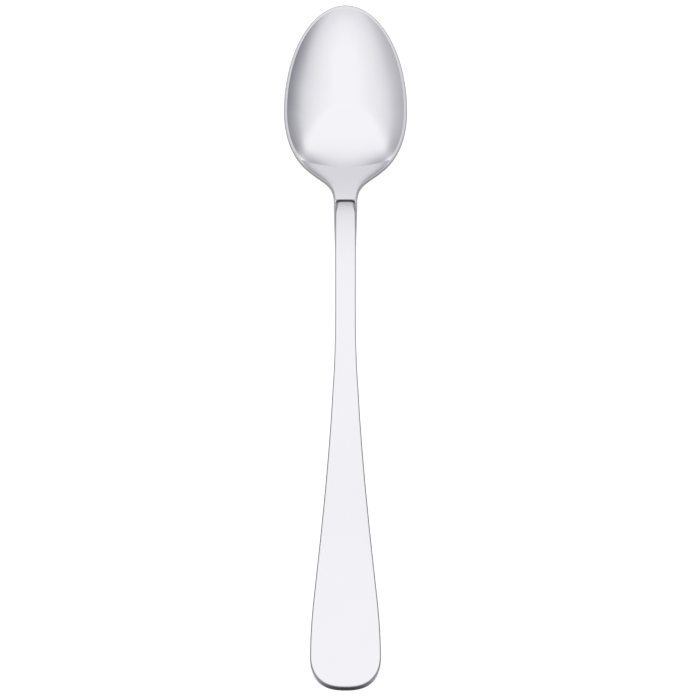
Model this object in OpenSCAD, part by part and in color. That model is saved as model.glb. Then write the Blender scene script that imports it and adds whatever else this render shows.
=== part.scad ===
/* [Overall] */
// Length from the tip of the bowl to the end of the handle
spoon_length = 190.5; // [175:0.5:210]

/* [Bowl] */
// Width across the outside of the rim
bowl_width = 33.4; // [29:0.1:37]
// Length from the widest place of the rim to the tip
tip_reach = 30.2; // [27:0.1:34]
// Length from the widest place of the rim to the step at the neck
heel_reach = 26.7; // [24:0.1:29]
// Length from the widest place of the rim to the edge of the hollow at the heel
hollow_reach = 16; // [14:0.1:18]
// How far the edge of the hollow at the heel bows towards the neck
lip_bow = 2.2; // [1:0.1:3]
// How far the deepest place lies from the widest place, towards the tip
deep_offset = 5.6; // [3:0.1:8]
// Depth of the hollow below the rim
bowl_depth = 6; // [5:0.1:7.5]
// Thickness of the metal under the deepest place
bowl_gauge = 1.5; // [1:0.1:2.5]
// Width of the rim, with its rounded edge
rim_width = 0.8; // [0.7:0.05:1.3]
// Radius that rounds the outer edge of the rim
rim_round = 0.45; // [0.2:0.05:0.6]
// Height of the outer edge of the rim
rim_edge = 0.9; // [0.7:0.05:1.2]
// How far the underside's middle bulges up under the heel
heel_rise = 0.9; // [0.4:0.1:1.2]

/* [Neck] */
// Width of the neck at the step
neck_width = 6.4; // [5.8:0.1:7.5]
// Thickness of the neck at the step
neck_gauge = 2.75; // [2.3:0.05:3.2]
// Height of the neck's top above the rim
neck_lift = 5.8; // [5:0.1:6.4]
// Rise of the underside from its middle to its side edges, on the neck and the stem
under_rise = 0.9; // [0.5:0.05:1.1]

/* [Lap joint] */
// Length of the tongue that the handle's head is brazed over
tongue_length = 17.5; // [12:0.5:22]
// Thickness of the tongue at its end
tongue_end_gauge = 1.5; // [1.4:0.05:1.8]
// Height of the step from the neck up to the head
step_height = 1.1; // [0.8:0.05:1.5]
// Width of the head at the step
head_width = 5.6; // [4.6:0.1:5.7]
// Radius of the head's corners, seen from above
head_corner = 1.5; // [1.15:0.05:1.8]
// Height of the rounding of the head's top edge
head_round = 0.75; // [0.5:0.05:0.9]
// Length of that rounding, seen from above
head_reach = 1.1; // [0.8:0.05:1.1]
// How far the head's top droops towards the step
nose_drop = 0.15; // [0:0.05:0.2]
// Length over which it droops
nose_length = 7; // [5:0.5:10]

/* [Handle] */
// Width of the stem at its narrowest place
stem_width = 5.7; // [5.2:0.1:6.4]
// Width of the handle at its widest place
handle_width = 19.1; // [16:0.1:22]
// Thickness of the handle at its end
end_gauge = 3.4; // [2.6:0.1:4]
// Length from the step to the highest place of the arch
peak_reach = 39.7; // [34:0.1:48]
// Height that the underside rises from the step to the highest place
arch_lift = 7.6; // [6:0.1:8.6]
// Length of the flat land under the handle's end
land_length = 8; // [5:0.5:12]
// Length of the rounded end, seen from above
end_curve = 9.3; // [7:0.1:12]
// Radius that rounds the handle's top edges along its sides
edge_round = 0.45; // [0.25:0.05:0.6]
// Radius that rounds the top edge of the handle's end
end_round = 0.9; // [0.5:0.05:1.2]
// Rise of the underside from its middle to its edges at the handle's end
end_rise = 0.5; // [0.3:0.05:1]
// Width over which the underside rolls up to the side edges and to the end
under_roll = 3.2; // [2.5:0.1:4.5]

/* [Hidden] */

// Places along the spoon. The tip of the bowl is towards +Y and the table is at zero height.
tip_y = spoon_length / 2;
wide_y = tip_y - tip_reach;
deep_y = wide_y + deep_offset;
lip_y = wide_y - hollow_reach;
step_y = wide_y - heel_reach;
tongue_y = step_y - tongue_length;
peak_y = step_y - peak_reach;
end_y = -spoon_length / 2;
land_y = end_y + land_length;
curve_y = end_y + end_curve;
handle_length = step_y - end_y;

// Heights above the table
rim_z = bowl_gauge + bowl_depth;
neck_z = rim_z + neck_lift;
neck_under_z = neck_z - neck_gauge;
head_gauge = neck_gauge + step_height;

// Half widths
bowl_half = bowl_width / 2;
neck_half = neck_width / 2;
stem_half = stem_width / 2;
head_half = head_width / 2;
wide_half = handle_width / 2;

// Fullness of the hollow across the bowl, where it is deepest and at the heel
across_power = 2.2;
heel_across_power = 1.25;
// Fullness of the hollow along the bowl, to the tip and to the heel
tip_power = 2.8;
heel_power = 1.3;
// The fullness to the heel next to the side walls, and how sharply the heel and the side walls join
heel_side_power = 1.6;
join_power = 6;
// How far the corners where they meet are flattened, where 1 would leave them level with the rim
corner_share = 0.6;
// How fast the raised corners of the hollow's edge fade along the shoulder
corner_fade_power = 3;
// Fullness of the rise from the rim to the heel's higher edge
lift_power = 2;
// Fullness of the handle's rounded end, where 2 would be an ellipse
end_power = 2.5;
// Rise of the neck's underside at the step, as a share of the length it rises over
neck_slope_share = 0.41;
// Slopes of the shoulder where it starts and ends, as shares of its mean slope
shoulder_start_share = 1;
shoulder_end_share = 0.97;
// Bend of the underside at the highest place and where it meets the land
peak_bend_share = 2;
land_bend_share = 2.4;
// The last row of a rounded end, as a share of a right angle
last_row_share = 0.93;
// Length over which the head's fuller rounding fades, as a share of the head's width
fade_share = 0.6;
// Distance over which the outline's lean is read, as a share of the heel's length
lean_share = 0.01;
// How much the columns crowd towards the sides, where the surfaces bend most
crowd_share = 0.5;

// Outline of the heel: shares of the way from the widest place to the step,
// then shares of the way from the neck's half width to the bowl's
heel_shares = [
    [0, 1], [0.1, 0.991], [0.2, 0.964], [0.3, 0.917], [0.4, 0.842], [0.5, 0.738], [0.6, 0.594],
    [0.68, 0.435], [0.75, 0.265], [0.81, 0.133], [0.87, 0.053], [0.93, 0.017], [1, 0]];

// Outline of the handle: shares of the way from the step to the end,
// then shares of the way from the stem's half width to the widest
flare_shares = [
    [0, 0], [0.15, 0], [0.29, 0], [0.36, 0.035], [0.42, 0.106], [0.48, 0.182], [0.54, 0.278],
    [0.6, 0.388], [0.66, 0.512], [0.72, 0.642], [0.78, 0.778], [0.84, 0.905], [0.89, 0.976],
    [0.94, 1], [1, 1]];

// Counts of rows and columns in each surface
bowl_cols = 26;
tip_rows = 13;
heel_rows = 11;
shoulder_rows = 11;
tongue_rows = 5;
bowl_rows = tip_rows + heel_rows + shoulder_rows + tongue_rows;
handle_cols = 12;
corner_rows = 4;
shaft_rows = 38;
end_rows = 9;
round_steps = 3;

function ease(t) = t * t * (3 - 2 * t);
function clamp(t) = max(0, min(1, t));
function mix(a, b, t) = a + (b - a) * t;
function join(lists) = [for (part = lists) each part];

// A smooth curve through a table of places and values, read at place t
function slope(table, k) =
    k <= 0 || k >= len(table) - 1 ? 0
    : (table[k + 1][1] - table[k - 1][1]) / (table[k + 1][0] - table[k - 1][0]);
function span(table, t, k = 0) = k >= len(table) - 2 || t <= table[k + 1][0] ? k : span(table, t, k + 1);
function smooth_at(table, t) =
    let (k = span(table, t), w = table[k + 1][0] - table[k][0])
    cubic(
        (t - table[k][0]) / w, table[k][1], slope(table, k) * w, table[k + 1][1], slope(table, k + 1) * w);

// Curves from height a to height b: a cubic with end slopes, and a quintic with end slopes and end bends
function cubic(t, a, slope_a, b, slope_b) =
    mix(a, b, ease(t)) + slope_a * t * (1 - t) * (1 - t) - slope_b * t * t * (1 - t);
function quintic(t, a, slope_a, bend_a, b, bend_b) =
    let (s = 1 - t, rise = t * t * t * (10 - 15 * t + 6 * t * t))
    mix(a, b, rise) + slope_a * t * s * s * s * (1 + 3 * t) + bend_a / 2 * t * t * s * s * s
    + bend_b / 2 * t * t * t * s * s;

// Half width of the blank seen from above, from the widest place of the bowl to the tongue's end
function blank_half(y) =
    y >= step_y ? mix(neck_half, bowl_half, smooth_at(heel_shares, (wide_y - y) / heel_reach))
    : mix(neck_half, stem_half, ease(clamp((step_y - y) / tongue_length)));
function blank_lean(y) =
    let (span = heel_reach * lean_share) (blank_half(y + span / 2) - blank_half(y - span / 2)) / span;

// The underside's middle, from the deepest place of the bowl to the handle's end
function under_z(y) =
    y >= step_y ? let (reach = deep_y - step_y, t = (deep_y - y) / reach)
        cubic(t, 0, 0, neck_under_z, neck_slope_share * reach) + heel_rise * pow(4 * t * (1 - t), 2)
    : y >= peak_y ? quintic(
        (step_y - y) / peak_reach, neck_under_z, neck_slope_share * peak_reach, -peak_bend_share * arch_lift,
        neck_under_z + arch_lift, -peak_bend_share * arch_lift)
    : y >= land_y ? let (fall = peak_y - land_y, top = neck_under_z + arch_lift) quintic(
        (peak_y - y) / fall, top, 0, -peak_bend_share * arch_lift * pow(fall / peak_reach, 2),
        0, land_bend_share * top)
    : 0;

// The plane that the tongue and the handle's head share
tongue_z = under_z(tongue_y) + tongue_end_gauge;
function seat_z(y) = mix(neck_z, tongue_z, (step_y - y) / tongue_length);

// Rows of the bowl blank: place at the middle, place at the sides and half width at the sides
function bowl_row(j) =
    j <= tip_rows + heel_rows
    ? let (t = (j - tip_rows) / heel_rows, y = mix(wide_y, lip_y, t), side = y + lip_bow * t * t)
      [y, side, blank_half(side)]
    : j <= bowl_rows - tongue_rows
    ? let (t = (j - tip_rows - heel_rows) / shoulder_rows, y = mix(lip_y, step_y, t))
      let (side = y + lip_bow * pow(1 - t, 2) * (1 + t)) [y, side, blank_half(side)]
    : let (t = (j - bowl_rows + tongue_rows) / tongue_rows, y = mix(step_y, tongue_y, t))
      [y, y, blank_half(y)];

// Place of a column across a surface, from -1 at the left to 1 at the right
function column(i, cols) = let (t = 2 * i / cols - 1) mix(t, sin(90 * t), crowd_share);

// A point of the bowl blank seen from above, drawn in from the outline by the inset
function bowl_plan(j, i, inset) =
    let (u = column(i, bowl_cols))
    j < tip_rows
    ? let (q = 1 - j / tip_rows)
      [(bowl_half - inset) * u * sqrt(1 - q * q / 2), wide_y + (tip_reach - inset) * q * sqrt(1 - u * u / 2)]
    : let (row = bowl_row(j), lean = blank_lean(row[1]), half = row[2] - inset * sqrt(1 + lean * lean))
      [half * u, mix(row[0], row[1], u * u)];

// Height of the sheet's top face at the rim, the shoulder, the neck and the tongue.
// The shoulder starts at the sides of the edge of the hollow, so the middle of that edge lies higher.
heel_y = lip_y + lip_bow;
function sheet_z(y) =
    y >= heel_y ? rim_z
    : y >= step_y ? cubic(
        (heel_y - y) / (heel_y - step_y), rim_z, shoulder_start_share * neck_lift,
        neck_z, shoulder_end_share * neck_lift)
    : seat_z(y);

// Height of the side wall below the sheet's top face
neck_edge = neck_gauge - under_rise;
function side_edge(y) =
    y >= step_y ? mix(rim_edge, neck_edge, ease(clamp((wide_y - y) / heel_reach)))
    : seat_z(y) - under_z(y) - under_rise;

// How far a place lies from the deepest place on the way to the rim, whose half round the tip is an ellipse
function way_out(x, y, inset) =
    let (wide = bowl_half - inset, reach = tip_reach - inset, rise = y - deep_y)
    let (size = pow(x / wide, 2) + pow(rise / reach, 2), lean = deep_offset * rise / pow(reach, 2))
    size > 0 ? size / (sqrt(lean * lean + size * (1 - pow(deep_offset / reach, 2))) - lean) : 0;

// Share of the depth that is left on the way to the rim: the fullness turns from across to along
function dish_share(x, y, inset) =
    let (rise = y - deep_y, power = (across_power * x * x + tip_power * rise * rise) / (x * x + rise * rise))
    x * x + rise * rise > 0 ? 1 - pow(clamp(way_out(x, y, inset)), power) : 1;

// Share of the way up from the deepest place towards the heel, which the side walls and the heel join into:
// 1 at the edges of the hollow and more where two of them meet, so that the corners rise above the rim
function joined(a, b) =
    let (p = pow(a, join_power), q = pow(b, join_power)) pow(p + q - corner_share * p * q, 1 / join_power);
function toward_lip(y) = clamp((deep_y - y) / (deep_y - lip_y));
function side_power(y) = mix(across_power, heel_across_power, pow(toward_lip(y), 2));
function heel_way(y, across) =
    let (power = mix(heel_power, heel_side_power, across * across))
    joined(pow(across, side_power(y)), pow(toward_lip(y), power));

// How far along the shoulder a place is, from 0 at the edge of the hollow to 1 at the step
function shoulder_way(y) = clamp((lip_y - y) / (lip_y - step_y));

// Rise of the rim near the corners of the hollow's edge, which fades along the shoulder
function corner_rise(j, across) =
    let (y = bowl_row(j)[0])
    j < tip_rows ? 0
    : bowl_depth * (heel_way(y, j < tip_rows + heel_rows ? 1 : across) - 1)
      * pow(1 - shoulder_way(y), corner_fade_power);

// How far a point is across the bowl, from 0 in the middle to 1 at the outline
function across_at(j, i, x, y, inset) =
    let (half = (bowl_half - inset) * sqrt(max(0, 1 - pow((y - wide_y) / (tip_reach - inset), 2))))
    i == 0 || i == bowl_cols || j == 0 ? 1
    : j >= tip_rows ? abs(column(i, bowl_cols))
    : half > 0 ? clamp(abs(x) / half) : 0;

// Change from the half towards the tip, at 0, to the half towards the heel, at 1
function turn_share(y) = ease(clamp((deep_y - y) / deep_offset));

// How far the edge of the top surface lies in from the outline: the rim round the hollow,
// which narrows over the shoulder to the rounded edge of the tongue
function top_inset(j) =
    mix(rim_width, rim_round, ease(clamp((j - tip_rows - heel_rows) / shoulder_rows)));

function bowl_top(j, i) =
    let (p = bowl_plan(j, i, top_inset(j)), across = across_at(j, i, p[0], p[1], rim_width))
    let (y = j < tip_rows ? p[1] : bowl_row(j)[0], turn = turn_share(y))
    let (lip = bowl_plan(tip_rows + heel_rows, i, rim_width)[1])
    let (edge_z = rim_z + (sheet_z(lip) - rim_z) * pow(toward_lip(y), lift_power))
    let (dish = turn < 1 ? dish_share(p[0], y, rim_width) : 0, heel = turn > 0 ? 1 - heel_way(y, across) : 0)
    let (deep = mix(dish, heel, turn))
    [p[0], p[1],
        across == 1 || j >= tip_rows + heel_rows ? sheet_z(p[1]) + corner_rise(j, across)
        : edge_z - bowl_depth * deep];

function bowl_under(j, i) =
    let (p = bowl_plan(j, i, 0), across = across_at(j, i, p[0], p[1], 0))
    let (y = j < tip_rows ? p[1] : bowl_row(j)[0], turn = turn_share(y))
    let (edge_z = sheet_z(p[1]) - side_edge(p[1]))
    let (dish_z = turn < 1 ? edge_z * (1 - dish_share(p[0], y, 0)) : 0)
    let (joined_z = edge_z * joined(pow(across, side_power(y)), under_z(y) / edge_z))
    let (plain_z = mix(under_z(y), edge_z, pow(across, across_power)))
    let (heel_z = mix(joined_z, plain_z, ease(shoulder_way(y))))
    [p[0], p[1], across == 1 && j < tip_rows ? edge_z : mix(dish_z, heel_z, turn)];

// A ring of the bowl's edge, lying in from the outline and down from the sheet's top face
function bowl_ring(inset, drop) = [
    for (cell = loop_cells(bowl_rows, bowl_cols))
    let (p = bowl_plan(cell[0], cell[1], inset))
    [p[0], p[1], sheet_z(p[1]) + corner_rise(cell[0], 1) - drop]];

// The cells round a surface of rows and columns, clockwise from above
function loop_cells(rows, cols) = concat(
    [for (i = [0:cols]) [0, i]], [for (j = [1:rows]) [j, cols]],
    [for (i = [cols - 1:-1:0]) [rows, i]], [for (j = [rows - 1:-1:1]) [j, 0]]);

// A solid with a top surface and an underside of rows and columns, and rings down its edge
module pressing(top, rings, under) {
    rows = len(top) - 1;
    cols = len(top[0]) - 1;
    loop = loop_cells(rows, cols);
    count = len(loop);
    first_ring = (rows + 1) * (cols + 1);
    first_under = first_ring + len(rings) * count;
    top_loop = [for (cell = loop) cell[0] * (cols + 1) + cell[1]];
    ring_loops = [for (r = [0:len(rings) - 1]) [for (k = [0:count - 1]) first_ring + r * count + k]];
    under_loop = [for (k = top_loop) k + first_under];
    loops = concat([top_loop], ring_loops, [under_loop]);
    cells = [for (j = [0:rows - 1]) for (i = [0:cols - 1]) j * (cols + 1) + i];
    polyhedron(
        points = concat(join(top), join(rings), join(under)),
        faces = concat(
            [for (a = cells) each [[a, a + 1, a + cols + 2], [a, a + cols + 2, a + cols + 1]]],
            [for (a = cells) let (b = a + first_under)
                each [[b, b + cols + 2, b + 1], [b, b + cols + 1, b + cols + 2]]],
            [for (r = [0:len(loops) - 2]) for (k = [0:count - 1]) let (n = (k + 1) % count)
                each [
                    [loops[r][n], loops[r][k], loops[r + 1][k]],
                    [loops[r][n], loops[r + 1][k], loops[r + 1][n]]]]),
        convexity = 6);
}

// Outline of the handle seen from above: rows of place and half width from the head to the end
function bar_half(y) =
    let (body = mix(stem_half, wide_half, smooth_at(flare_shares, (step_y - y) / handle_length)))
    y >= tongue_y ? mix(head_half, body, ease(clamp((step_y - y) / tongue_length))) : body;
bar_rows = concat(
    [for (k = [0:corner_rows]) let (a = 90 * k / corner_rows, y = step_y - head_corner * (1 - cos(a)))
        [y, bar_half(y) - head_corner * (1 - sin(a))]],
    [for (k = [1:shaft_rows]) let (y = mix(step_y - head_corner, curve_y, k / shaft_rows)) [y, bar_half(y)]],
    [for (k = [1:end_rows]) let (a = 90 * last_row_share * k / end_rows, full = 90 * last_row_share)
        let (way = pow(sin(a) / sin(full), 2 / end_power))
        [curve_y - end_curve * way, wide_half * pow(cos(a), 2 / end_power)]]);
bar_last = len(bar_rows) - 1;

// Height and length of the top edge's rounding, which is fuller at the head and at the end
fade_length = head_width * fade_share;
function bar_round(y, head_size) =
    y > curve_y ? mix(head_size, edge_round, ease(clamp((step_y - head_corner - y) / fade_length)))
    : mix(edge_round, end_round, ease(clamp((curve_y - y) / end_curve)));

// Height of the handle's top face
function bar_top_z(y) =
    under_z(y) + mix(head_gauge, end_gauge, ease(clamp((step_y - y) / handle_length)))
    - nose_drop * pow(clamp(1 - (step_y - y) / nose_length), 3);

// Rise of the handle's underside at its edges, the same as the tongue's where they meet
function bar_rise(y) = mix(under_rise, end_rise, ease(clamp((tongue_y - y) / (tongue_y - end_y))));

bar_cells = loop_cells(bar_last, handle_cols);
bar_outline = [
    for (cell = bar_cells) [bar_rows[cell[0]][1] * column(cell[1], handle_cols), bar_rows[cell[0]][0]]];
bar_leans = [
    for (k = [0:len(bar_outline) - 1])
    let (n = len(bar_outline), ahead = bar_outline[(k + 1) % n] - bar_outline[(k + n - 1) % n])
    [-ahead[1], ahead[0]] / norm(ahead)];

// The outline's normals, which turn evenly from corner to corner along the head's front and the handle's end
bar_normals = [
    for (k = [0:len(bar_outline) - 1])
    let (cell = bar_cells[k], corner = bar_leans[cell[0] == 0 ? handle_cols : handle_cols + bar_last])
    let (x = corner[0] * column(cell[1], handle_cols))
    cell[0] > 0 && cell[0] < bar_last ? bar_leans[k] : [x, sign(corner[1]) * sqrt(1 - x * x)]];

// A ring of the handle's top edge at angle a, from its top face at 0 to its side at 90 degrees
function bar_ring(a) = [
    for (k = [0:len(bar_outline) - 1])
    let (p = bar_outline[k], q = p - bar_normals[k] * bar_round(p[1], head_reach) * (1 - sin(a)))
    [q[0], q[1], bar_top_z(q[1]) - bar_round(p[1], head_round) * (1 - cos(a))]];

// The top surface reaches to the first ring, whose right side starts after the head's columns
bar_top_ring = bar_ring(0);
bar_top = [
    for (j = [0:bar_last])
    [for (i = [0:handle_cols])
        j == 0 ? bar_top_ring[i]
        : j == bar_last ? bar_top_ring[2 * handle_cols + bar_last - i]
        : let (edge = bar_top_ring[handle_cols + j]) [edge[0] * column(i, handle_cols), edge[1], edge[2]]]];
bar_under = [
    for (row = bar_rows)
    [for (i = [0:handle_cols])
        let (u = column(i, handle_cols), roll = min(row[1], under_roll))
        let (side_in = max(0, abs(u) * row[1] - row[1] + roll) / roll)
        let (end_in = clamp(1 - (row[0] - end_y) / under_roll), in = 1 - (1 - side_in) * (1 - end_in))
        [row[1] * u, row[0], under_z(row[0]) + bar_rise(row[0]) * pow(in, across_power)]]];

// Bowl, rim, shoulder, neck and the tongue under the handle's head, pressed from one blank
module bowl() color([0.86, 0.86, 0.88])
    pressing(
        [for (j = [0:bowl_rows]) [for (i = [0:bowl_cols]) bowl_top(j, i)]],
        [for (k = [1:round_steps]) let (a = 90 * k / round_steps)
            bowl_ring(rim_round * (1 - sin(a)), rim_round * (1 - cos(a)))],
        [for (j = [0:bowl_rows]) [for (i = [0:bowl_cols]) bowl_under(j, i)]]);

// The room that the tongue fills under the handle's head, which runs out past the head's end and sides
module tongue_room() {
    front_y = step_y + head_corner;
    rotate([90, 0, 90])
        linear_extrude(handle_width, center = true)
            polygon([[tongue_y, tongue_z], [front_y, seat_z(front_y)], [front_y, 0], [tongue_y, 0]]);
}

// Handle with the stepped head that laps over the tongue
module handle() color([0.8, 0.8, 0.83])
    difference() {
        pressing(bar_top, [for (k = [1:round_steps]) bar_ring(90 * k / round_steps)], bar_under);
        tongue_room();
    }

bowl();
handle();
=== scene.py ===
import math

import bpy
import numpy as np
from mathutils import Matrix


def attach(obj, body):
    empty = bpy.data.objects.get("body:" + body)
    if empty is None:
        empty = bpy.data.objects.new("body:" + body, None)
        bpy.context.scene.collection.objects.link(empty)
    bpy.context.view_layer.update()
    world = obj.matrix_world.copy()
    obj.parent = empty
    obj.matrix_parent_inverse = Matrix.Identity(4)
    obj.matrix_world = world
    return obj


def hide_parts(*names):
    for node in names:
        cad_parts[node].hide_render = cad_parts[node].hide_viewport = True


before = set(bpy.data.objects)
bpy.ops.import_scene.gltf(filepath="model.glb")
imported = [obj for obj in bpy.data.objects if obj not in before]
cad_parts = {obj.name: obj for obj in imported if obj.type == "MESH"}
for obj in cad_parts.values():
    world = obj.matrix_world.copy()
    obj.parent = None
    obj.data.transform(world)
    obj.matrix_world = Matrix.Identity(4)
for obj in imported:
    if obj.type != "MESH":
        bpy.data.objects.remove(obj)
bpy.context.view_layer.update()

# Bowl: one pressing of polished stainless steel, with its narrow rim, the shoulder, the neck and the tongue
# that runs on under the handle's head. Its outer edge is left as blanked and ground, duller than the faces, and
# is painted dark as shade.
# All sizes here are in millimetres and are the solid's own.
mm = 0.001

# Places along the spoon, from its middle towards the tip
tip_y = 95.25
deep_y = 70.65  # deepest place of the hollow
wide_y = 65.05  # widest place of the bowl
lip_y = 49.05  # lip in the middle, where the hollow ends and the shoulder starts
step_y = 38.35  # neck, where the shoulder ends and the handle's head starts
tongue_y = 20.85  # end of the tongue
peak_y = -1.35  # top of the arch
land_y = -87.25  # start of the flat land under the handle's end

# Half widths of the blank
bowl_half = 16.7
neck_half = 3.2
stem_half = 2.85  # at the tongue's end

# Heights, gauges and slopes
rim_z = 7.5
bowl_depth = 6.0
neck_lift = 5.8  # rise of the top face from the rim to the neck
neck_z = rim_z + neck_lift
neck_gauge = 2.75
neck_under_z = neck_z - neck_gauge
neck_slope = 0.41  # of the underside at the neck
heel_rise = 0.9  # bulge of the underside between the deepest place and the neck
shoulder_start = 1.0  # slope of the shoulder where it starts, as a share of its mean slope
shoulder_end = 0.97  # the same where it ends, at the neck
tongue_end_gauge = 1.5
arch_lift = 7.6  # rise of the underside from the neck to the top of the arch
peak_bend = 2.0  # bend of the underside at the neck and at the top of the arch, as a share of the lift
land_bend = 2.4  # bend where it comes down to the land, as a share of the top's height above the table
under_rise = 0.9  # rise of the underside from its middle to its sides

# Rim and lip
rim_width = 0.8  # with its rounded edge
rim_round = 0.45  # radius of that edge
rim_edge = 0.9  # height of the side wall at the rim
rim_loss = 0.2  # how much narrower the flat rim is beyond the lip
rim_fade = 0.25  # share of the shoulder over which it gets narrower
neck_round = 0.5  # the same radius beyond the lip
lip_bow = 2.2  # how much nearer to the tip the lip's ends are than its middle

# Fullness of the hollow, as powers
across_power = 2.2
heel_across_power = 1.25  # across, at the lip
tip_power = 2.8  # along, towards the tip
heel_power = 1.3  # along, towards the lip
heel_side_power = 1.6  # the same at the sides
join_power = 6  # with which the shares across and along are joined
corner_share = 0.6  # how far the corners where they meet are flattened; 1 leaves them level with the rim
lift_power = 2.0  # of the rise from the rim to the higher lip
corner_fade = 3  # with which the lip's raised corners fade along the shoulder

# Half width along the heel, as the way from the widest place to the step and the share left above the neck's
heel_shares = np.array([
    [0, 1], [0.1, 0.991], [0.2, 0.964], [0.3, 0.917], [0.4, 0.842], [0.5, 0.738], [0.6, 0.594],
    [0.68, 0.435], [0.75, 0.265], [0.81, 0.133], [0.87, 0.053], [0.93, 0.017], [1, 0]])


def way(place, start, end):
    """Share of the way from start to end: 0 up to the start, and 1 from the end on."""
    return np.clip((place - start) / (end - start), 0, 1)


def ease(place, start=0, end=1):
    """A smooth step on the way from start to end: the share t squared times (3 - 2t)."""
    t = way(place, start, end)
    return t * t * (3 - 2 * t)


def mix(a, b, t):
    """The value a share t of the way from a to b."""
    return a + (b - a) * t


def crowd(t, share):
    """A place t turned towards its sine by a share, so that rows and columns crowd towards 1."""
    return mix(t, np.sin(np.pi / 2 * t), share)


def columns_across(count, share):
    """Places of columns from -1 at the left side to 1 at the right, crowded towards both sides by a share."""
    spread = np.linspace(-1, 1, count + 1)
    return np.sign(spread) * crowd(np.abs(spread), share)


def smooth_at(table, t):
    """A cubic through a table of places and values, with mean slopes at its inner points and none at its ends."""
    place, value = table[:, 0], table[:, 1]
    slope = np.zeros(len(table))
    slope[1:-1] = (value[2:] - value[:-2]) / (place[2:] - place[:-2])
    k = np.clip(np.searchsorted(place, t, side="left") - 1, 0, len(table) - 2)
    width = place[k + 1] - place[k]
    s = np.clip((t - place[k]) / width, 0, 1)
    return (mix(value[k], value[k + 1], s * s * (3 - 2 * s)) + slope[k] * width * s * (1 - s) ** 2
            - slope[k + 1] * width * s * s * (1 - s))


def cubic(t, a, slope_a, b, slope_b):
    """A curve from a to b: a smooth step with a slope at each end."""
    return mix(a, b, ease(t)) + slope_a * t * (1 - t) ** 2 - slope_b * t * t * (1 - t)


def quintic(t, a, slope_a, bend_a, b, bend_b):
    """A curve from a to b: a fifth-power smooth step with a start slope and a bend at each end."""
    s = 1 - t
    return (mix(a, b, t ** 3 * (10 - 15 * t + 6 * t * t)) + slope_a * t * s ** 3 * (1 + 3 * t)
            + bend_a / 2 * t * t * s ** 3 + bend_b / 2 * t ** 3 * s * s)


def under_z(y):
    """Height of the underside's middle: a cubic with a bulge up from the bowl's deepest place to the neck, one
    fifth-power curve up to the top of the arch, one down to the handle's end, and the flat land there."""
    reach, rise, fall = deep_y - step_y, step_y - peak_y, peak_y - land_y
    t = way(y, deep_y, step_y)
    heel = cubic(t, 0, 0, neck_under_z, neck_slope * reach) + heel_rise * (4 * t * (1 - t)) ** 2
    top = neck_under_z + arch_lift
    up = quintic(way(y, step_y, peak_y), neck_under_z, neck_slope * rise, -peak_bend * arch_lift,
                 top, -peak_bend * arch_lift)
    down = quintic(way(y, peak_y, land_y), top, 0, -peak_bend * arch_lift * (fall / rise) ** 2,
                   0, land_bend * top)
    return np.where(y >= step_y, heel, np.where(y >= peak_y, up, down))


tongue_z = float(under_z(np.array(tongue_y))) + tongue_end_gauge


def seat_z(y):
    """Height of the plane that the tongue and the handle's head share: a straight line from the neck's top to the
    tongue's end."""
    return mix(neck_z, tongue_z, (step_y - y) / (step_y - tongue_y))


def sheet_z(y):
    """Height of the sheet's top face: flat at the rim, a cubic up the shoulder, then the shared plane."""
    t = (lip_y + lip_bow - y) / (lip_y + lip_bow - step_y)
    shoulder = cubic(np.clip(t, 0, 1), rim_z, shoulder_start * neck_lift, neck_z, shoulder_end * neck_lift)
    return np.where(t <= 0, rim_z, np.where(y >= step_y, shoulder, seat_z(y)))


def side_edge(y):
    """Height of the side wall below the sheet's top face: eased from the rim's to the neck's, then the gauge of the
    tongue less the rise of the underside's sides."""
    heel = mix(rim_edge, neck_gauge - under_rise, ease(y, wide_y, step_y))
    return np.where(y >= step_y, heel, seat_z(y) - under_z(y) - under_rise)


def blank_half(y):
    """Half width of the blank from the widest place of the bowl to the tongue's end: the heel's table, then eased
    from the neck's to the stem's."""
    heel = mix(neck_half, bowl_half, smooth_at(heel_shares, (wide_y - y) / (wide_y - step_y)))
    tongue = mix(neck_half, stem_half, ease(y, step_y, tongue_y))
    return np.where(y >= step_y, heel, tongue)


# Grid of the bowl: cells across and along, and how much they crowd towards the sides, the tip and the lip
cols = 120
tip_rows = 72
heel_rows = 40
shoulder_rows = 60
tongue_rows = 36
side_crowd = 0.9
tip_crowd = 0.9
heel_crowd = 0.85
shoulder_crowd = 0.8

across_u = columns_across(cols, side_crowd)
tip_q = crowd(1 - np.arange(tip_rows) / tip_rows, tip_crowd)[:, None]
heel_t = crowd(np.arange(heel_rows + 1) / heel_rows, heel_crowd)
shoulder_t = np.arange(1, shoulder_rows + 1) / shoulder_rows
shoulder_t = mix(shoulder_t, ease(shoulder_t), shoulder_crowd)
tongue_t = np.arange(1, tongue_rows + 1) / tongue_rows

# Rows from the widest place on: place in the middle, bow of the ends, half width, its slope, rim and rounding
slope_reach = 0.1  # half the length over which a slope is taken
row_y = np.concatenate([mix(wide_y, lip_y, heel_t), mix(lip_y, step_y, shoulder_t), mix(step_y, tongue_y, tongue_t)])
row_bow = np.concatenate([lip_bow * heel_t ** 2, lip_bow * (1 - shoulder_t) ** 2 * (1 + shoulder_t), 0 * tongue_t])
row_side = row_y + row_bow
row_half = blank_half(row_side)
row_lean = (blank_half(row_side + slope_reach) - blank_half(row_side - slope_reach)) / (2 * slope_reach)
beyond_lip = np.concatenate(
    [np.zeros(tip_rows + heel_rows + 1), ease(shoulder_t, 0, rim_fade), 1 + 0 * tongue_t])[:, None]
row_inset = rim_width - rim_loss * beyond_lip
row_round = mix(rim_round, neck_round, beyond_lip)
row_number = np.arange(len(row_inset))[:, None]
in_tip = row_number < tip_rows
before_lip = row_number < tip_rows + heel_rows


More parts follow.
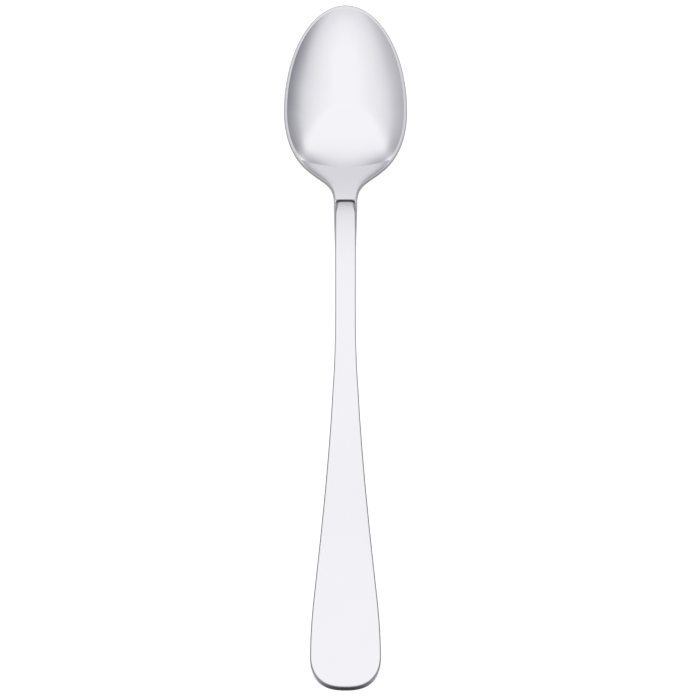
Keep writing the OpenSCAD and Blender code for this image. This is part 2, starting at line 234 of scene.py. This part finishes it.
def bowl_plan(inset):
    """Places of the grid seen from above, drawn in by an inset. Round the tip a square is bent into a half
    ellipse, and each later row is a bowed line that reaches from side to side."""
    inset = np.broadcast_to(inset, (len(row_inset), 1))
    tip_in, row_in = inset[:tip_rows], inset[tip_rows:, 0]
    tip_x = (bowl_half - tip_in) * across_u * np.sqrt(1 - tip_q ** 2 / 2)
    tip_rows_y = wide_y + (tip_y - wide_y - tip_in) * tip_q * np.sqrt(1 - across_u ** 2 / 2)
    half = row_half - row_in * np.sqrt(1 + row_lean ** 2)
    low_x = half[:, None] * across_u
    low_y = row_y[:, None] + row_bow[:, None] * across_u ** 2
    return np.vstack([tip_x, low_x]), np.vstack([tip_rows_y, low_y])


# Least values that keep a divisor off zero
least_size = 1e-12
least_round = 1e-9


def dish_share(x, y, inset):
    """Share of the depth left on the straight way from the deepest place to the rim, whose half round the tip is
    an ellipse: 1 less the way to a power that turns from across to along."""
    wide, reach, rise = bowl_half - inset, tip_y - wide_y - inset, y - deep_y
    offset = deep_y - wide_y
    size = np.maximum((x / wide) ** 2 + (rise / reach) ** 2, least_size)
    lean = offset * rise / reach ** 2
    to_rim = size / (np.sqrt(lean * lean + size * (1 - (offset / reach) ** 2)) - lean)
    power = (across_power * x * x + tip_power * rise * rise) / np.maximum(x * x + rise * rise, least_size)
    return 1 - np.clip(to_rim, 0, 1) ** power


def toward_lip(y):
    """How far a place lies from the deepest place, 0, to the hollow's edge at the heel, 1, on a straight way."""
    return way(y, deep_y, lip_y)


def side_power(y):
    """Fullness of the hollow across, which falls towards the heel, with the square of the way, so that the side
    walls keep their slope."""
    return mix(across_power, heel_across_power, toward_lip(y) ** 2)


def joined(a, b):
    """The sixth root of the sum of two shares' sixth powers, less a share of their product: about the greater one,
    and a little more where both are near 1."""
    p, q = a ** join_power, b ** join_power
    return (p + q - corner_share * p * q) ** (1 / join_power)


def heel_way(y, across):
    """Share of the way up from the deepest place towards the heel, joined from the shares across and along."""
    power = mix(heel_power, heel_side_power, across ** 2)
    return joined(across ** side_power(y), toward_lip(y) ** power)


def hollow_places(x, y, inset):
    """Where each point lies along the bowl, how far across it from 0 to 1 at the outline, and the change from the
    half towards the tip, 0, to the half towards the heel, 1."""
    along_y = np.vstack([y[:tip_rows], np.broadcast_to(row_y[:, None], y[tip_rows:].shape)])
    from_wide = (y - wide_y) / (tip_y - wide_y - inset)
    half = (bowl_half - inset) * np.sqrt(np.clip(1 - from_wide ** 2, least_round, 1))
    across = np.where(in_tip, np.clip(np.abs(x) / half, 0, 1), np.abs(across_u))
    across[0, :] = across[:, 0] = across[:, -1] = 1
    return along_y, across, ease(along_y, deep_y, wide_y)


def loop_cells(rows, columns):
    """Row and column of each cell round a grid, clockwise from above, from the first row's left end."""
    right, down = np.arange(columns + 1), np.arange(1, rows + 1)
    j = np.concatenate([0 * right, down, np.full(columns, rows), down[:-1][::-1]])
    i = np.concatenate([right, np.full(rows, columns), right[:-1][::-1], 0 * down[:-1]])
    return j, i


def pressing(name, top, rings, under, top_dull_and_shade, ring_dull_and_shade):
    """A closed shell of quads in metres: a top grid, loops of points down its edge and an underside grid. Its
    attribute of dullness and painted shade is 0 on polished, unshaded metal and 1 on dull metal painted darkest, as
    given for the top and for each loop."""
    rows, columns = top.shape[0] - 1, top.shape[1] - 1
    j, i = loop_cells(rows, columns)
    top_loop = j * (columns + 1) + i
    count, first_ring = len(top_loop), (rows + 1) * (columns + 1)
    first_under = first_ring + len(rings) * count
    loops = np.array([top_loop] + [first_ring + r * count + np.arange(count) for r in range(len(rings))]
                     + [first_under + top_loop])
    a = (np.arange(rows)[:, None] * (columns + 1) + np.arange(columns)).ravel()
    upper = np.stack([a, a + columns + 1, a + columns + 2, a + 1], 1)
    lower = upper[:, ::-1] + first_under
    high, low = loops[:-1], loops[1:]
    side = np.stack([high, np.roll(high, -1, 1), np.roll(low, -1, 1), low], 2).reshape(-1, 4)
    points = np.vstack([top.reshape(-1, 3)] + list(rings) + [under.reshape(-1, 3)]) * mm
    faces = np.vstack([upper, side, lower])
    mesh = bpy.data.meshes.new(name)
    mesh.from_pydata(points.tolist(), [], faces.tolist())
    dull_and_shade = np.concatenate([np.broadcast_to(top_dull_and_shade, top.shape[:2]).ravel()]
                            + [np.broadcast_to(e, count) for e in ring_dull_and_shade] + [np.zeros(first_ring)])
    dull_and_shade[first_under + top_loop] = ring_dull_and_shade[-1]
    mesh.attributes.new("dull_and_shade", "FLOAT", "POINT").data.foreach_set("value", dull_and_shade.astype(np.float32))
    mesh.shade_smooth()
    piece = bpy.data.objects.new(name, mesh)
    bpy.context.scene.collection.objects.link(piece)
    return piece


# Top face: the hollow, the flat rim round it, the shoulder and the tongue
x, y = bowl_plan(row_inset)
along_y, across, turn = hollow_places(x, y, rim_width)
lip_line = y[tip_rows + heel_rows]
lift = (sheet_z(lip_line) - rim_z) * toward_lip(along_y) ** lift_power
deep = mix(dish_share(x, along_y, rim_width), 1 - heel_way(along_y, across), turn)
shoulder_way = way(along_y, lip_y, step_y)
edge_across = np.where(before_lip, 1, np.abs(across_u))
corner_rise = bowl_depth * (heel_way(along_y, edge_across) - 1) * (1 - shoulder_way) ** corner_fade
corner_rise = np.where(in_tip, 0, corner_rise)
hollow_z = rim_z + lift - bowl_depth * deep
bowl_top = np.stack([x, y, np.where(before_lip & (across < 1), hollow_z, sheet_z(y) + corner_rise)], 2)

# Underside, and the height at which the rounded edge turns into the side wall
x, y = bowl_plan(0)
along_y, across, turn = hollow_places(x, y, 0)
edge_z = sheet_z(y) - side_edge(y)
wall_z = sheet_z(y) + corner_rise - row_round
joined_z = edge_z * joined(across ** side_power(along_y), under_z(along_y) / edge_z)
heel_z = mix(joined_z, mix(under_z(along_y), edge_z, across ** across_power), ease(shoulder_way))
bottom_z = mix(edge_z * (1 - dish_share(x, along_y, 0)), heel_z, turn)
bottom_z = np.where((across == 1) & in_tip, edge_z, bottom_z)
bowl_under = np.stack([x, y, bottom_z], 2)

# Edge: loops on the flat rim and down the side wall, as shares of them, and round the rounding, in degrees
flat_shares = (0.85, 0.45)
round_angles = (6, 20, 35, 50, 65, 80, 90)
wall_shares = (0.35, 0.7, 0.96)
loop = loop_cells(len(x) - 1, cols)


def bowl_ring(inset, drop):
    """A loop of the bowl's edge: the outline drawn in by an inset, at the top face's height less a drop."""
    x, y = bowl_plan(inset)
    return np.stack([x, y, sheet_z(y) + corner_rise - drop], 2)[loop]


bowl_rings = [bowl_ring(mix(row_round, row_inset, share), 0) for share in flat_shares]
for angle in np.radians(round_angles):
    bowl_rings.append(bowl_ring(row_round * (1 - math.sin(angle)), row_round * (1 - math.cos(angle))))
for share in wall_shares:
    bowl_rings.append(np.stack([x, y, mix(wall_z, bottom_z, share)], 2)[loop])

# Dullness of the edge and painted shade on it, from 0 as the faces are polished and unshaded to 1 as ground and
# painted darkest
wide_dull_and_shade = 0.40
tip_dull_and_shade = 0.22
shoulder_dull_and_shade = 0.62
neck_dull_and_shade = 0.30
neck_start = 0.6  # share of the shoulder after which the edge turns to the neck's dullness and shade
round_start = 15  # degrees of the rounding at which it starts to turn fully dull and dark
round_end = 75  # degrees at which it has
step_dull_and_shade = 0.8  # of the line on the sheet along the front of the handle's head
step_line = 0.1  # length of that line
rim_dull_and_shade = mix(wide_dull_and_shade, tip_dull_and_shade, way(y[loop], wide_y, tip_y) ** 2)
beyond_dull_and_shade = mix(shoulder_dull_and_shade, neck_dull_and_shade, ease(shoulder_way[loop], neck_start, 1))
rim_dull_and_shade = mix(rim_dull_and_shade, beyond_dull_and_shade, beyond_lip[loop[0], 0])
ring_dull_and_shade = [rim_dull_and_shade] * len(flat_shares)
ring_dull_and_shade += [np.maximum(rim_dull_and_shade, ease(angle, round_start, round_end)) for angle in round_angles]
ring_dull_and_shade += [1] * len(wall_shares)
# Painted shadow: the top face is painted dark at the step, in a thin line in front of the handle's head and under it
top_dull_and_shade = step_dull_and_shade * np.exp(-(np.maximum(bowl_top[:, :, 1] - step_y, 0) / step_line) ** 2)
bowl = pressing("bowl_blank", bowl_top, bowl_rings, bowl_under, top_dull_and_shade, ring_dull_and_shade)


def node(tree, kind, inputs, **settings):
    """A shader node with its settings, and its sockets set to values or linked to other sockets."""
    made = tree.nodes.new("ShaderNode" + kind)
    for key, value in settings.items():
        setattr(made, key, value)
    for key, value in inputs.items():
        if isinstance(value, bpy.types.NodeSocket):
            tree.links.new(value, made.inputs[key])
        else:
            made.inputs[key].default_value = value
    return made


def reckon(tree, operation, *terms, **settings):
    """The result of a Math node on terms that are numbers or sockets."""
    return node(tree, "Math", dict(enumerate(terms)), operation=operation, **settings).outputs[0]


# Polish marks: fine lines along the piece from the buffing wheel, a faint cloudiness and the ground edge's grain
line_scale = (9000, 260, 9000)  # per metre, as are the other scales
line_depth = 0.0000012  # in metres
cloud_scale = 95.0
grain_scale = 5200.0
grain_depth = 0.00002  # in metres
polish = bpy.data.node_groups.new("polish_marks", "ShaderNodeTree")
for socket in ("Line Depth", "Ground"):
    polish.interface.new_socket(socket, in_out="INPUT", socket_type="NodeSocketFloat")
for socket in ("Height", "Cloud"):
    polish.interface.new_socket(socket, in_out="OUTPUT", socket_type="NodeSocketFloat")
given, out = polish.nodes.new("NodeGroupInput"), polish.nodes.new("NodeGroupOutput")
place = node(polish, "TexCoord", {}).outputs["Object"]
stretched = node(polish, "Mapping", {"Vector": place, "Scale": line_scale}).outputs[0]
lines = node(polish, "TexNoise", {"Vector": stretched, "Scale": 1.0, "Detail": 3.0, "Roughness": 0.6})
cloud = node(polish, "TexNoise", {"Vector": place, "Scale": cloud_scale, "Detail": 3.0, "Roughness": 0.5})
grain = node(polish, "TexNoise", {"Vector": place, "Scale": grain_scale, "Detail": 2.0, "Roughness": 0.6})
fine = reckon(polish, "MULTIPLY", lines.outputs["Fac"], given.outputs["Line Depth"])
coarse = reckon(polish, "MULTIPLY", grain.outputs["Fac"], grain_depth)
height = reckon(polish, "ADD", fine, reckon(polish, "MULTIPLY", coarse, given.outputs["Ground"]))
polish.links.new(height, out.inputs["Height"])
polish.links.new(cloud.outputs["Fac"], out.inputs["Cloud"])

# Steel: its colour, how much the cloudiness changes its colour and roughness, and how strong the marks are
steel_color = (0.915, 0.907, 0.945, 1)
cloud_shade = 0.985
cloud_range = (0.3, 0.7)
cloud_sheen = (0.8, 1.25)
mark_strength = 0.35


def steel(name, edge_shade_color, edge_tint, face_roughness, edge_roughness):
    """Polished stainless steel that turns rougher, and darker as painted shade, where the attribute of dullness and
    painted shade rises. The tint is the edge's colour where it is seen at a low angle."""
    material = bpy.data.materials.new(name)
    material.use_nodes = True
    tree = material.node_tree
    shader = tree.nodes["Principled BSDF"]
    shader.inputs["Metallic"].default_value = 1.0
    dull_and_shade = node(tree, "Attribute", {}, attribute_name="dull_and_shade").outputs["Fac"]
    marks = node(tree, "Group", {"Line Depth": line_depth, "Ground": dull_and_shade}, node_tree=polish)
    shaded = tuple(c * cloud_shade for c in steel_color[:3]) + (1,)
    tint = node(tree, "MixRGB", {"Fac": marks.outputs["Cloud"], "Color1": steel_color, "Color2": shaded})
    # Painted shade: the base colour turns from the steel's to the dark edge colour where the attribute rises
    color = node(tree, "MixRGB", {"Fac": dull_and_shade, "Color1": tint.outputs[0], "Color2": edge_shade_color})
    tree.links.new(color.outputs[0], shader.inputs["Base Color"])
    low_angle = node(tree, "MixRGB", {"Fac": dull_and_shade, "Color1": (1, 1, 1, 1), "Color2": edge_tint})
    tree.links.new(low_angle.outputs[0], shader.inputs["Specular Tint"])
    sheen = node(tree, "MapRange", {
        "Value": marks.outputs["Cloud"], "From Min": cloud_range[0], "From Max": cloud_range[1],
        "To Min": face_roughness * cloud_sheen[0], "To Max": face_roughness * cloud_sheen[1]})
    rough = node(tree, "MapRange", {"Value": dull_and_shade, "To Min": sheen.outputs[0], "To Max": edge_roughness})
    tree.links.new(rough.outputs[0], shader.inputs["Roughness"])
    bump = node(tree, "Bump", {"Height": marks.outputs["Height"], "Strength": mark_strength, "Distance": 1.0})
    tree.links.new(bump.outputs[0], shader.inputs["Normal"])
    return material


# The bowl's dark grey edge colour is painted shade
bowl.data.materials.append(steel(
    "bowl_steel", edge_shade_color=(0.24, 0.23, 0.25, 1), edge_tint=(0.7, 0.7, 0.7, 1), face_roughness=0.09,
    edge_roughness=0.32))
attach(bowl, "root")
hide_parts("bowl")

# Handle: a forged bar of the same steel, thick at its stepped and rounded head, narrow along the stem and wide
# at its rounded end. Its head laps over the bowl's tongue, brazed face to face on one plane.
end_y = -95.25
handle_length = step_y - end_y
end_curve = 9.3  # length of the rounded end
curve_y = end_y + end_curve
end_power = 2.5  # fullness of the rounded end, seen from above
head_half = 2.8
wide_half = 9.55
head_corner = 1.5  # radius of the head's corners, seen from above
head_gauge = 3.85
end_gauge = 3.4
nose_drop = 0.15  # droop of the top face at the step
nose_length = 7.0
head_reach = 1.1  # how far in the head's rounding starts
head_round = 0.75  # how far down it goes
edge_round = 0.45  # rounding of the sides
end_round = 0.9
fade_length = 3.36  # length over which the head's rounding fades into the sides'
under_roll = 3.2  # width of the roll from the underside up to the sides and the end
end_rise = 0.5  # height of the roll at the end
top_drop = 0.006  # keeps the finer top face below the solid's highest place

# Half width along the handle, as the way from the step to the end and the share of the end's over the stem's
flare_shares = np.array([
    [0, 0], [0.15, 0], [0.29, 0], [0.36, 0.035], [0.42, 0.106], [0.48, 0.182], [0.54, 0.278],
    [0.6, 0.388], [0.66, 0.512], [0.72, 0.642], [0.78, 0.778], [0.84, 0.905], [0.89, 0.976],
    [0.94, 1], [1, 1]])


def bar_half(y):
    """Half width of the handle: the flare table, narrowed to the head over the tongue's length."""
    body = mix(stem_half, wide_half, smooth_at(flare_shares, (step_y - y) / handle_length))
    return np.where(y >= tongue_y, mix(head_half, body, ease(y, step_y, tongue_y)), body)


def bar_round(y, head_size):
    """Size of the top edge's rounding: the head's own, eased to the sides' and then to the end's."""
    return np.where(y > curve_y, mix(head_size, edge_round, ease((step_y - head_corner - y) / fade_length)),
                    mix(edge_round, end_round, ease((curve_y - y) / end_curve)))


def bar_top_z(y):
    """Height of the top face: the underside's middle and the thickness, less a droop towards the step. It lies
    six thousandths of a millimetre low, so that the finer curve stays below the solid's highest place."""
    gauge = mix(head_gauge, end_gauge, ease(y, step_y, end_y))
    return under_z(y) + gauge - top_drop - nose_drop * np.clip(1 - (step_y - y) / nose_length, 0, 1) ** 3


# Grid of the handle: rows round the head's corners, over the tongue, along the shaft and round the end
corner_rows = 14
lap_rows = 48
shaft_rows = 250
end_rows = 56
bar_cols = 72
bar_crowd = 0.85
lap_gap = 0.01  # from the last row on the shared plane to the first one behind the tongue
end_turn = 0.985  # share of the quarter turn that the end's rows cover, so that the last one has a width
corner_a = np.radians(90 * np.arange(corner_rows + 1) / corner_rows)
corner_y = step_y - head_corner * (1 - np.cos(corner_a))
shaft_y = np.concatenate([
    mix(step_y - head_corner, tongue_y + lap_gap, np.arange(1, lap_rows + 1) / lap_rows),
    mix(tongue_y, curve_y, np.arange(shaft_rows + 1) / shaft_rows)])
end_full = np.radians(90 * end_turn)
end_a = end_full * np.arange(1, end_rows + 1) / end_rows
round_y = curve_y - end_curve * (np.sin(end_a) / np.sin(end_full)) ** (2 / end_power)
bar_y = np.concatenate([corner_y, shaft_y, round_y])
bar_w = np.concatenate([bar_half(corner_y) - head_corner * (1 - np.sin(corner_a)), bar_half(shaft_y),
                        wide_half * np.cos(end_a) ** (2 / end_power)])
bar_u = columns_across(bar_cols, bar_crowd)

# Outline and the way that it faces, which turns evenly along the front of the head and along the end
loop = loop_cells(len(bar_y) - 1, bar_cols)
outline = np.stack([bar_w[loop[0]] * bar_u[loop[1]], bar_y[loop[0]]], 1)
ahead = np.roll(outline, -1, 0) - np.roll(outline, 1, 0)
normals = np.stack([-ahead[:, 1], ahead[:, 0]], 1) / np.linalg.norm(ahead, axis=1)[:, None]
for row in (0, len(bar_y) - 1):
    at_row = loop[0] == row
    turned = normals[at_row, 0].max() * bar_u[loop[1][at_row]]
    normals[at_row] = np.stack([turned, np.sign(normals[at_row, 1]) * np.sqrt(1 - turned ** 2)], 1)


def bar_ring(angle):
    """A loop of the rounded top edge, drawn in along the outline's normals: angle 0 at the top, 90 at the side."""
    place = outline - normals * (bar_round(outline[:, 1], head_reach) * (1 - math.sin(angle)))[:, None]
    drop = bar_round(outline[:, 1], head_round) * (1 - math.cos(angle))
    return np.column_stack([place, bar_top_z(place[:, 1]) - drop])


# Top face, from the innermost loop
first = bar_ring(0)
right_edge = first[bar_cols:bar_cols + len(bar_y)]
bar_top = np.stack([right_edge[:, :1] * bar_u, np.repeat(right_edge[:, 1:2], bar_cols + 1, 1),
                    np.repeat(right_edge[:, 2:3], bar_cols + 1, 1)], 2)
bar_top[0] = first[:bar_cols + 1]
bar_top[-1] = first[bar_cols + len(bar_y) - 1:2 * bar_cols + len(bar_y)][::-1]

# Underside: flat across, rolled up to the sides and the end, and on the shared plane over the tongue
roll = np.minimum(bar_w, under_roll)[:, None]
side_in = np.maximum(0, np.abs(bar_u) * bar_w[:, None] - bar_w[:, None] + roll) / roll
end_in = np.clip(1 - (bar_y - end_y) / under_roll, 0, 1)[:, None]
rise = mix(under_rise, end_rise, ease(bar_y, tongue_y, end_y))[:, None]
bottom_z = under_z(bar_y)[:, None] + rise * (1 - (1 - side_in) * (1 - end_in)) ** across_power
bottom_z = np.where(bar_y[:, None] > tongue_y, seat_z(bar_y)[:, None], bottom_z)
bar_under = np.stack([bar_w[:, None] * bar_u, np.repeat(bar_y[:, None], bar_cols + 1, 1), bottom_z], 2)

# Edge: loops round its rounding, in degrees, and down the side wall, as shares of its height
round_angles = (5, 15, 26, 38, 50, 62, 75, 90)
wall_shares = (0.3, 0.65, 0.96)
bar_rings = [bar_ring(math.radians(angle)) for angle in round_angles]
wall_z = bar_rings[-1][:, 2]
bar_rings += [np.column_stack([outline, mix(wall_z, bar_under[loop][:, 2], share)]) for share in wall_shares]

# Dullness and painted shade of the side wall and of the dark line painted along its top, which rise towards 1 at
# the step and the end
front_dull_and_shade = 0.93  # of the front of the head; the end's is 1
side_dull_and_shade = 0.42  # of the side wall
near_line = 0.5  # of the line at its start, nearer to the step
far_line = 0.78  # of the line from its end on
line_start = 20
line_end = -40
near_step = 0.43  # what is added at the step
near_length = 8  # length over which that fades
# Painted shade: where the outline faces the bowl, at the head's front, and faces away, at the end, the edge is
# painted darkest; the side wall and the line along its top are painted darker towards the step
facing = np.maximum(front_dull_and_shade * normals[:, 1], -normals[:, 1])
to_step = near_step * np.exp((outline[:, 1] - step_y) / near_length)
wall_dull_and_shade = np.maximum(facing, side_dull_and_shade + to_step)
line_dull_and_shade = np.maximum(facing, mix(near_line, far_line, ease(outline[:, 1], line_start, line_end)) + to_step)

# Degrees of the rounding over which the metal turns dull and painted dark, and where that starts as a share of them
side_ramp = 26
broad_ramp = 60  # on the head's broad rounding
end_ramp = 50
front_ramp = 22  # on the front of the head
side_start = 0.3
front_start = -0.38
front_length = 2  # how far behind the step the front counts
front_gain = 1.5  # how soon a corner that faces forward counts as the front
wall_start = 50  # degrees at which the line's dullness and shade start to turn to the wall's
wall_end = 90
at_front = np.where(outline[:, 1] > step_y - front_length, np.clip(front_gain * normals[:, 1], 0, 1), 0)
broad = way(bar_round(outline[:, 1], head_reach), edge_round, head_reach)
ramp = np.where(outline[:, 1] > curve_y, mix(side_ramp, broad_ramp, broad),
                mix(side_ramp, end_ramp, np.maximum(-normals[:, 1], 0)))
ramp = mix(ramp, front_ramp, at_front)
ramp_start = mix(side_start, front_start, at_front)

# Dullness and painted shade of the top face: a trace all over, more on the head and the most close behind the step
face_dull_and_shade = 0.015
head_dull_and_shade = 0.15
head_length = 12
head_power = 1.5
behind_dull_and_shade = 0.35
behind_length = 1.6
behind_step = np.maximum(step_y - bar_top[:, :, 1], 0)
top_dull_and_shade = (face_dull_and_shade + head_dull_and_shade * np.exp(-(behind_step / head_length) ** head_power)
              + behind_dull_and_shade * np.exp(-behind_step / behind_length))
ring_dull_and_shade = []
for angle in round_angles:
    edge_dull_and_shade = mix(line_dull_and_shade, wall_dull_and_shade, ease(angle, wall_start, wall_end)) * ease(angle / ramp - ramp_start)
    ring_dull_and_shade.append(np.maximum(edge_dull_and_shade, top_dull_and_shade[loop]))
ring_dull_and_shade += [wall_dull_and_shade] * len(wall_shares)
handle = pressing("handle_bar", bar_top, bar_rings, bar_under, top_dull_and_shade, ring_dull_and_shade)
# The handle's near-black edge colour is painted shade, on its edges, the head's front and the end
handle.data.materials.append(steel(
    "handle_steel", edge_shade_color=(0.035, 0.033, 0.037, 1), edge_tint=(0.5, 0.5, 0.5, 1), face_roughness=0.08,
    edge_roughness=0.32))
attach(handle, "root")
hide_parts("handle")

# Table: a matt white board. What the camera and the steel see of it is lifted to white, and it keeps the
# spoon's soft shadow.
table_half = 4
table_z = -0.00002  # just under the spoon, so that no faces lie on one another
board_color = (0.92, 0.92, 0.92, 1)
seen_lift = 0.45  # strength of what is added for the camera and the steel
board = bpy.data.meshes.new("table_board")
board.from_pydata([(-table_half, -table_half, table_z), (table_half, -table_half, table_z),
                   (table_half, table_half, table_z), (-table_half, table_half, table_z)], [], [(0, 1, 2, 3)])
table = bpy.data.objects.new("table_board", board)
bpy.context.scene.collection.objects.link(table)
white = bpy.data.materials.new("white_board")
white.use_nodes = True
tree = white.node_tree
shader = tree.nodes["Principled BSDF"]
shader.inputs["Base Color"].default_value = board_color
shader.inputs["Roughness"].default_value = 1.0
shader.inputs["Specular IOR Level"].default_value = 0.0
shader.inputs["Emission Color"].default_value = (1, 1, 1, 1)
path = node(tree, "LightPath", {}).outputs
seen = reckon(tree, "MAXIMUM", path["Is Camera Ray"], path["Is Glossy Ray"])
seen = reckon(tree, "MAXIMUM", seen, path["Is Transmission Ray"])
tree.links.new(reckon(tree, "MULTIPLY", seen, seen_lift), shader.inputs["Emission Strength"])
board.materials.append(white)

# Studio light: a white tent round the spoon, bright overhead and falling off towards the horizon, the most
# towards the two ends, as four curves of brightness against height that are blended round the compass. Below the
# horizon it is the same again.
tent = {
    (0, 1): [(0, 0.05), (0.105, 0.10), (0.208, 0.28), (0.30, 0.40), (0.342, 0.50), (0.38, 0.60), (0.416, 0.75),
             (0.432, 0.79), (0.46, 0.905), (0.491, 0.955), (0.542, 0.985), (0.643, 1), (1, 1)],
    (0, -1): [(0, 0.05), (0.087, 0.10), (0.208, 0.30), (0.3, 0.38), (0.415, 0.50), (0.5, 0.68), (0.582, 0.80),
              (0.674, 0.838), (0.73, 0.88), (0.782, 0.93), (0.87, 0.955), (0.93, 0.985), (1, 1)],
    (1, 0): [(0, 0.15), (0.177, 0.27), (0.239, 0.318), (0.363, 0.48), (0.485, 0.687), (0.605, 0.80), (0.716, 0.87),
             (0.809, 0.915), (0.882, 0.945), (0.94, 0.985), (1, 1)],
    (-1, 0): [(0, 0.38), (0.177, 0.48), (0.239, 0.52), (0.363, 0.608), (0.485, 0.73), (0.605, 0.818), (0.716, 0.882),
              (0.809, 0.91), (0.882, 0.945), (0.94, 0.985), (1, 1)]}
least_flat = 0.000001  # keeps the divisor off zero straight overhead
blue_power = 0.93  # below 1, so that the dimmer light is a little bluer
world = bpy.data.worlds.new("light_tent")
bpy.context.scene.world = world
world.use_nodes = True
tree = world.node_tree
sky = node(tree, "SeparateXYZ", {0: node(tree, "TexCoord", {}).outputs["Generated"]}).outputs
from_horizon = reckon(tree, "ABSOLUTE", sky[2])
flat = reckon(tree, "MULTIPLY_ADD", sky[1], sky[1], reckon(tree, "MULTIPLY", sky[0], sky[0]))
flat = reckon(tree, "MAXIMUM", flat, least_flat)
level = None
for (to_x, to_y), points in tent.items():
    curve = node(tree, "FloatCurve", {"Value": from_horizon})
    line = curve.mapping.curves[0]
    curve.mapping.use_clip = False
    line.points[0].location, line.points[1].location = points[0], points[-1]
    for point in points[1:-1]:
        line.points.new(*point)
    curve.mapping.update()
    side = reckon(tree, "MULTIPLY", sky[0] if to_x else sky[1], float(to_x or to_y), use_clamp=True)
    share = reckon(tree, "DIVIDE", reckon(tree, "POWER", side, 2.0), flat)
    part = reckon(tree, "MULTIPLY", share, curve.outputs[0])
    level = part if level is None else reckon(tree, "ADD", level, part)
color = node(tree, "CombineColor", {0: level, 1: level, 2: reckon(tree, "POWER", level, blue_power)})
tree.links.new(color.outputs[0], tree.nodes["Background"].inputs["Color"])

# Camera: in line with the spoon, past the handle's end and 74 degrees above the table, from far off through a long
# lens. The frame's width at the spoon and the point in its middle are in metres.
elevation = math.radians(74)
distance = 4.0
frame_width = 0.18908
aim = (0.00121, -0.00003, 0)
eye = bpy.data.cameras.new("studio_camera")
eye.lens = eye.sensor_width * distance / frame_width
eye.clip_start, eye.clip_end = 0.1, 20
camera = bpy.data.objects.new("studio_camera", eye)
camera.location = (aim[0], aim[1] - distance * math.cos(elevation), distance * math.sin(elevation))
camera.rotation_euler = (math.pi / 2 - elevation, 0, 0)
bpy.context.scene.collection.objects.link(camera)
bpy.context.scene.camera = camera
bpy.context.scene.view_settings.view_transform = "Standard"
